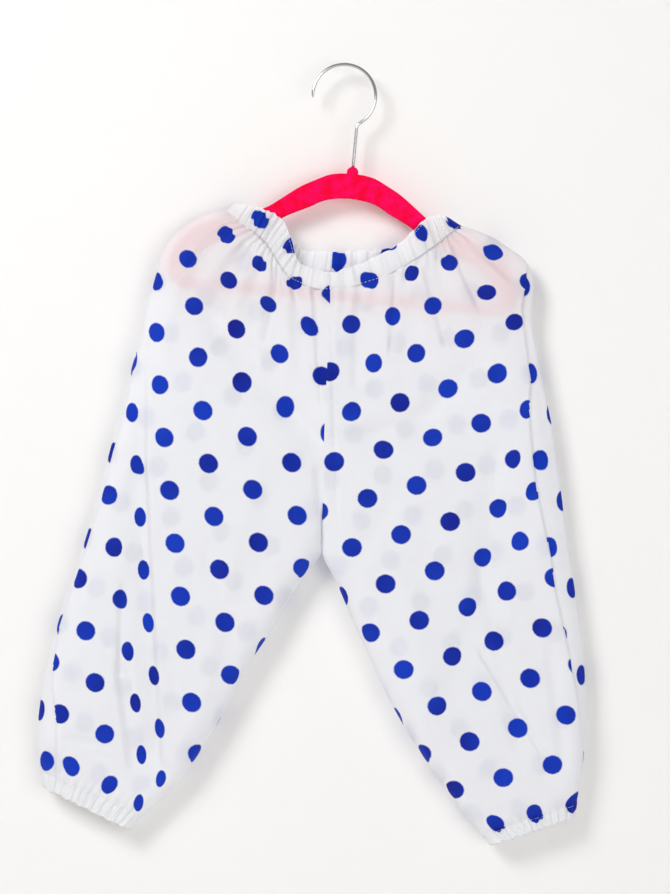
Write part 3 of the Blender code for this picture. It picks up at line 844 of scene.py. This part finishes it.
def make_hook(material):
    centre_z = -(HOOK_RADIUS - WIRE / 2)
    bend_x = (HOOK_RADIUS + BEND_RADIUS) * math.cos(HOOK_END)
    bend_z = centre_z + (HOOK_RADIUS + BEND_RADIUS) * math.sin(HOOK_END)
    path = []
    for angle in np.linspace(HOOK_TIP, HOOK_END, 90):
        path.append((HOOK_RADIUS * math.cos(angle), centre_z + HOOK_RADIUS * math.sin(angle)))
    for angle in np.linspace(HOOK_END + math.pi, math.pi, 16)[1:]:
        path.append((bend_x + BEND_RADIUS * math.cos(angle), bend_z + BEND_RADIUS * math.sin(angle)))
    foot = KNOB_Z + KNOB_RADIUS - KNOB_SINK - FOOT_SINK
    for z in np.linspace(bend_z, foot, 10)[1:]:
        path.append((STEM_X, z))
    curve = bpy.data.curves.new("hook_wire", "CURVE")
    curve.dimensions = "3D"
    curve.bevel_depth = WIRE / 2 * MM
    curve.bevel_resolution = 6
    spots = [tilted(x, z) for x, z in path]
    add_spline(curve, [(x, 0.0, z) for x, z in spots])
    for index in range(TIP_STEPS):
        share = (index + 0.4) / TIP_STEPS
        curve.splines[0].points[index].radius = math.sqrt(1 - (1 - share) ** 2)
    curve.use_fill_caps = True
    mesh = curve_to_mesh("hanger_hook_wire", curve)
    return add_piece("hanger_hook_wire", mesh, material, "chromed_wire", "hanger_hook")


def smooth_run(points, steps):
    """A smooth curve through points, as a list with steps between each two."""
    padded = np.array([points[0], *points, points[-1]], float)
    at = np.linspace(0, 1, (len(points) - 1) * steps + 1) * (len(points) - 1)
    first = np.minimum(at.astype(int), len(points) - 2)
    t = (at - first)[:, None]
    a, b, c, d = (padded[first + k] for k in range(4))
    curve = 0.5 * (2 * b + (c - a) * t + (2 * a - 5 * b + 4 * c - d) * t**2 + (3 * b - a - 3 * c + d) * t**3)
    return [tuple(point) for point in curve]


def make_hanger_frame(material):
    """The flocked frame with rounded edges: two arms, the knob, and the trouser bar between the arms."""
    outline = []
    for step in range(KNOB_STEPS + 1):
        angle = math.pi / 2 + KNOB_HALF * (1 - 2 * step / KNOB_STEPS)
        outline.append((KNOB_RADIUS * math.cos(angle), KNOB_RADIUS * math.sin(angle) - KNOB_SINK))
    top = smooth_run(ARM_TOP, ARM_STEPS)
    outline += top
    outline += [(-out, up) for out, up in reversed(top)]
    under = smooth_run(ARM_UNDERSIDE, ARM_STEPS)
    gap = under + [(-out, up) for out, up in reversed(under[1:])]
    curve = bpy.data.curves.new("hanger_outline", "CURVE")
    curve.dimensions = "2D"
    curve.fill_mode = "BOTH"
    curve.extrude = (PLATE / 2 - PLATE_ROUNDING) * MM
    curve.bevel_depth = PLATE_ROUNDING * MM
    curve.bevel_resolution = 4
    curve.offset = -PLATE_ROUNDING * MM
    for ring in (outline, gap):
        add_spline(curve, [(*tilted(STEM_X + x, KNOB_Z + z), 0.0) for x, z in ring], cyclic=True)
    upright = Matrix.Rotation(math.pi / 2, 4, "X")
    mesh = curve_to_mesh("hanger_frame_flocked", curve, upright)
    return add_piece("hanger_frame_flocked", mesh, material, "crimson_flock", "hanger_frame")


def link(tree, source, target):
    tree.links.new(source, target)


def math_node(tree, operation, first, second=None, third=None, clamp=False):
    node = tree.nodes.new("ShaderNodeMath")
    node.operation = operation
    node.use_clamp = clamp
    for socket, value in zip(node.inputs, (first, second, third)):
        if value is None:
            continue
        if isinstance(value, (int, float)):
            socket.default_value = value
        else:
            link(tree, value, socket)
    return node.outputs[0]


def add_noise(tree, place, scale, detail):
    node = tree.nodes.new("ShaderNodeTexNoise")
    set_inputs(node, {"Scale": scale, "Detail": detail})
    link(tree, place, node.inputs["Vector"])
    return node.outputs[0]


def set_inputs(node, values):
    for label, value in values.items():
        node.inputs[label].default_value = value


def new_group(name, inputs, outputs):
    group = bpy.data.node_groups.new(name, "ShaderNodeTree")
    for label, kind, value in inputs:
        socket = group.interface.new_socket(label, in_out="INPUT", socket_type=kind)
        if value is not None:
            socket.default_value = value
    for label, kind in outputs:
        group.interface.new_socket(label, in_out="OUTPUT", socket_type=kind)
    entry = group.nodes.new("NodeGroupInput")
    leave = group.nodes.new("NodeGroupOutput")
    return group, entry.outputs, leave.inputs


def staggered_dots_group():
    """Round dots in columns, every second column half a step lower. Ink is 1 on a dot."""
    group, given, out = new_group(
        "staggered_dots",
        [
            ("Cloth", "NodeSocketVector", None),
            ("Spacing", "NodeSocketFloat", DOT_SPACING * MM),
            ("Pitch", "NodeSocketFloat", DOT_PITCH * MM),
            ("Radius", "NodeSocketFloat", DOT_RADIUS * MM),
            ("Softness", "NodeSocketFloat", 0.0006),
        ],
        [("Ink", "NodeSocketFloat")],
    )
    node = partial(math_node, group)
    ragged = add_noise(group, given["Cloth"], 420.0, 3.0)
    parts = group.nodes.new("ShaderNodeSeparateXYZ")
    link(group, given["Cloth"], parts.inputs[0])
    repeat = node("MULTIPLY", given["Spacing"], 2.0)
    nearest = []
    for shift in (0.0, 0.5):
        column = node("FRACT", node("ADD", node("DIVIDE", parts.outputs["X"], repeat), 0.5 + shift))
        column = node("MULTIPLY", node("SUBTRACT", column, 0.5), repeat)
        row = node("FRACT", node("ADD", node("DIVIDE", parts.outputs["Y"], given["Pitch"]), 0.5 + shift))
        row = node("MULTIPLY", node("SUBTRACT", row, 0.5), given["Pitch"])
        nearest.append(node("SQRT", node("ADD", node("POWER", column, 2.0), node("POWER", row, 2.0))))
    fray = node("MULTIPLY", node("SUBTRACT", ragged, 0.5), DOT_FRAY)
    inside = node("SUBTRACT", given["Radius"], node("ADD", node("MINIMUM", *nearest), fray))
    ink = node("DIVIDE", inside, node("MULTIPLY", given["Softness"], 2.0))
    link(group, node("ADD", ink, 0.5, clamp=True), out["Ink"])
    return group


def plain_weave_group():
    """The over and under of warp and weft as Height, and the slight unevenness of the threads as Slub."""
    group, given, out = new_group(
        "plain_weave",
        [("Cloth", "NodeSocketVector", None), ("Threads", "NodeSocketFloat", 1500.0)],
        [("Height", "NodeSocketFloat"), ("Slub", "NodeSocketFloat")],
    )
    node = partial(math_node, group)
    parts = group.nodes.new("ShaderNodeSeparateXYZ")
    link(group, given["Cloth"], parts.inputs[0])
    turn = node("MULTIPLY", given["Threads"], math.pi)
    warp, weft = (node("SINE", node("MULTIPLY", parts.outputs[axis], turn)) for axis in ("X", "Y"))
    link(group, node("MULTIPLY_ADD", node("MULTIPLY", warp, weft), 0.5, 0.5), out["Height"])
    link(group, add_noise(group, given["Cloth"], 60.0, 5.0), out["Slub"])
    return group


def new_material(name):
    material = bpy.data.materials.new(name)
    material.use_nodes = True
    return material, material.node_tree, material.node_tree.nodes["Principled BSDF"]


def place_group(tree, group, cloth):
    """The group's outputs, with the flat cloth's places given to it."""
    node = tree.nodes.new("ShaderNodeGroup")
    node.node_tree = group
    link(tree, cloth, node.inputs["Cloth"])
    return node.outputs


def object_place(tree):
    return tree.nodes.new("ShaderNodeTexCoord").outputs["Object"]


def mix_shaders(tree, share, first, second):
    node = tree.nodes.new("ShaderNodeMixShader")
    if isinstance(share, float):
        node.inputs[0].default_value = share
    else:
        link(tree, share, node.inputs[0])
    link(tree, first, node.inputs[1])
    link(tree, second, node.inputs[2])
    return node.outputs[0]


def show(tree, shader):
    link(tree, shader, tree.nodes["Material Output"].inputs["Surface"])


def mix_colours(tree, share, first, second):
    """first and second are colours, or sockets that give one."""
    node = tree.nodes.new("ShaderNodeMix")
    node.data_type = "RGBA"
    for socket, value in ((node.inputs[0], share), (node.inputs[6], first), (node.inputs[7], second)):
        if isinstance(value, (int, float)):
            socket.default_value = value
        elif isinstance(value, tuple):
            socket.default_value = (*value, 1)
        else:
            link(tree, value, socket)
    return node.outputs[2]


def bump(tree, height, strength, distance, normal=None):
    node = tree.nodes.new("ShaderNodeBump")
    set_inputs(node, {"Strength": strength, "Distance": distance})
    link(tree, height, node.inputs["Height"])
    if normal:
        link(tree, normal, node.inputs["Normal"])
    return node.outputs[0]


WHITE = (0.93, 0.95, 0.98)
CREAM = (0.93, 0.93, 0.93)
ROYAL_BLUE = (0.001, 0.04, 0.52)
DEEP_BLUE = (0.001, 0.006, 0.25)
CRIMSON = (0.86, 0.0, 0.035)
# painted sheen: a pinker colour painted into the flock in patches, standing in for its mottled highlights
PAINTED_SHEEN_PINK = (0.93, 0.002, 0.12)
LIGHT_THROUGH = 0.28  # share of the light that the cotton lets through
SHEER_PLAIN, SHEER_PRINTED = 0.13, 0.005  # share of the cloth that is open between its threads


def dotted_cotton(dots, weave):
    """Thin, slightly sheer white cotton with printed dots."""
    material, tree, surface = new_material("dotted_cotton")
    cloth = tree.nodes.new("ShaderNodeUVMap")
    cloth.uv_map = "cloth"
    printed = place_group(tree, dots, cloth.outputs[0])
    woven = place_group(tree, weave, cloth.outputs[0])
    ground = mix_colours(tree, woven["Slub"], WHITE, CREAM)
    wash = add_noise(tree, object_place(tree), 14.0, 1.0)
    strength = math_node(tree, "MULTIPLY_ADD", wash, 2.2, -0.7, clamp=True)
    ink = mix_colours(tree, strength, ROYAL_BLUE, DEEP_BLUE)
    colour = mix_colours(tree, printed["Ink"], ground, ink)
    link(tree, colour, surface.inputs["Base Color"])
    set_inputs(surface, {"Roughness": 0.82, "Specular IOR Level": 0.25})
    set_inputs(surface, {"Sheen Weight": 0.08, "Sheen Roughness": 0.5})
    rough = bump(tree, woven["Slub"], 0.35, 0.0012)
    link(tree, bump(tree, woven["Height"], 0.25, 0.0001, rough), surface.inputs["Normal"])
    glow = tree.nodes.new("ShaderNodeBsdfTranslucent")
    link(tree, colour, glow.inputs["Color"])
    lit = mix_shaders(tree, LIGHT_THROUGH, surface.outputs[0], glow.outputs[0])
    sheer = math_node(tree, "MULTIPLY_ADD", printed["Ink"], SHEER_PRINTED - SHEER_PLAIN, SHEER_PLAIN)
    show(tree, mix_shaders(tree, sheer, lit, tree.nodes.new("ShaderNodeBsdfTransparent").outputs[0]))
    return material


def sewing_thread():
    material, tree, surface = new_material("sewing_thread")
    set_inputs(surface, {"Base Color": (0.88, 0.88, 0.87, 1), "Roughness": 0.6})
    twist = tree.nodes.new("ShaderNodeTexWave")
    set_inputs(twist, {"Scale": 900.0, "Distortion": 1.0})
    link(tree, object_place(tree), twist.inputs["Vector"])
    link(tree, bump(tree, twist.outputs[1], 0.4, 0.0002), surface.inputs["Normal"])
    return material


def crimson_flock():
    """Short dense flock, with pinker patches painted into its colour as painted sheen for its mottled
    highlights, and a pinker sheen where it is seen aslant.
    """
    material, tree, surface = new_material("crimson_flock")
    place = object_place(tree)
    pile_and_sheen_patches = add_noise(tree, place, 130.0, 3.0)
    fibres = add_noise(tree, place, 2600.0, 2.0)
    # painted sheen: pinker patches painted into the base colour stand in for the flock's mottled highlights;
    # the same noise also gives the pile a soft bump
    share = math_node(tree, "MULTIPLY_ADD", pile_and_sheen_patches, 3.0, -1.1, clamp=True)
    link(tree, mix_colours(tree, share, CRIMSON, PAINTED_SHEEN_PINK), surface.inputs["Base Color"])
    set_inputs(surface, {"Roughness": 0.95, "Specular IOR Level": 0.1})
    set_inputs(surface, {"Sheen Weight": 0.35, "Sheen Roughness": 0.4, "Sheen Tint": (1.0, 0.25, 0.45, 1)})
    soft = bump(tree, pile_and_sheen_patches, 0.3, 0.0008)
    link(tree, bump(tree, fibres, 0.7, 0.0003, soft), surface.inputs["Normal"])
    return material


def chromed_wire():
    material, tree, surface = new_material("chromed_wire")
    scuffs = add_noise(tree, object_place(tree), 900.0, 4.0)
    set_inputs(surface, {"Base Color": (0.52, 0.53, 0.55, 1), "Metallic": 1.0})
    link(tree, math_node(tree, "MULTIPLY_ADD", scuffs, 0.16, 0.1), surface.inputs["Roughness"])
    link(tree, bump(tree, scuffs, 0.08, 0.0001), surface.inputs["Normal"])
    return material


def pale_stage(name, colour):
    """A pale matt surface that shows from its front only, so that views from behind look past it."""
    material, tree, surface = new_material(name)
    set_inputs(surface, {"Base Color": (*colour, 1), "Roughness": 0.9, "Specular IOR Level": 0.1})
    facing = tree.nodes.new("ShaderNodeNewGeometry").outputs["Backfacing"]
    clear = tree.nodes.new("ShaderNodeBsdfTransparent")
    show(tree, mix_shaders(tree, facing, surface.outputs[0], clear.outputs[0]))
    return material


def make_stage_sheet(name, corners, colour):
    work = bmesh.new()
    work.faces.new([work.verts.new(corner) for corner in corners])
    mesh = bpy.data.meshes.new(name)
    work.to_mesh(mesh)
    work.free()
    mesh.materials.append(pale_stage(name, colour))
    sheet = bpy.data.objects.new(name, mesh)
    bpy.context.scene.collection.objects.link(sheet)
    return sheet


def make_stage():
    wide, high, near = 3.0, 2.0, -4.0
    wall = make_stage_sheet(
        "pale_wall",
        [(-wide, WALL_Y, FLOOR_Z), (wide, WALL_Y, FLOOR_Z), (wide, WALL_Y, high), (-wide, WALL_Y, high)],
        (0.86, 0.855, 0.845),
    )
    wall.visible_shadow = False
    make_stage_sheet(
        "pale_floor",
        [(-wide, near, FLOOR_Z), (wide, near, FLOOR_Z), (wide, WALL_Y, FLOOR_Z), (-wide, WALL_Y, FLOOR_Z)],
        (0.88, 0.87, 0.86),
    )


def add_area_light(name, place, aim, size, power, colour=(1, 1, 1)):
    light = bpy.data.lights.new(name, "AREA")
    light.shape = "RECTANGLE"
    light.size, light.size_y = size
    light.energy = power
    light.color = colour
    holder = bpy.data.objects.new(name, light)
    holder.location = place
    holder.rotation_euler = (Vector(aim) - Vector(place)).to_track_quat("-Z", "Y").to_euler()
    bpy.context.scene.collection.objects.link(holder)
    return holder


def make_lights():
    middle = (0, 0, -0.4)
    add_area_light("window", (-1.2, -1.8, 0.95), middle, (0.9, 0.9), 33, (0.99, 0.99, 1.0))
    add_area_light("fill", (1.4, -2.6, -0.7), middle, (1.8, 2.0), 33, (0.98, 0.99, 1.0))
    add_area_light("behind", (0.3, 2.4, 0.8), middle, (2.0, 2.0), 28)
    world = bpy.data.worlds.new("pale_surroundings")
    world.use_nodes = True
    world.node_tree.nodes["Background"].inputs["Color"].default_value = (1.0, 0.965, 0.93, 1)
    world.node_tree.nodes["Background"].inputs["Strength"].default_value = 0.38
    bpy.context.scene.world = world


def make_camera():
    camera = bpy.data.cameras.new("camera")
    camera.lens = camera.sensor_width * CAMERA_DISTANCE / VIEW_HEIGHT
    holder = bpy.data.objects.new("camera", camera)
    holder.location = (VIEW_X, -CAMERA_DISTANCE, VIEW_Z)
    holder.rotation_euler = (math.pi / 2, 0, 0)
    bpy.context.scene.collection.objects.link(holder)
    bpy.context.scene.camera = holder


def main():
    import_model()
    make_camera()
    make_lights()
    make_stage()
    bpy.context.scene.view_settings.view_transform = "Standard"
    cotton = dotted_cotton(staggered_dots_group(), plain_weave_group())
    panels = [make_panel(side, front, cotton) for side in ("right", "left") for front in (True, False)]
    casing = make_waist_casing(cotton)
    cuffs = [make_cuff("right", RIGHT_CUFF, cotton), make_cuff("left", LEFT_CUFF, cotton)]
    make_all_stitching(sewing_thread())
    make_hanger_frame(crimson_flock())
    make_hook(chromed_wire())


main()
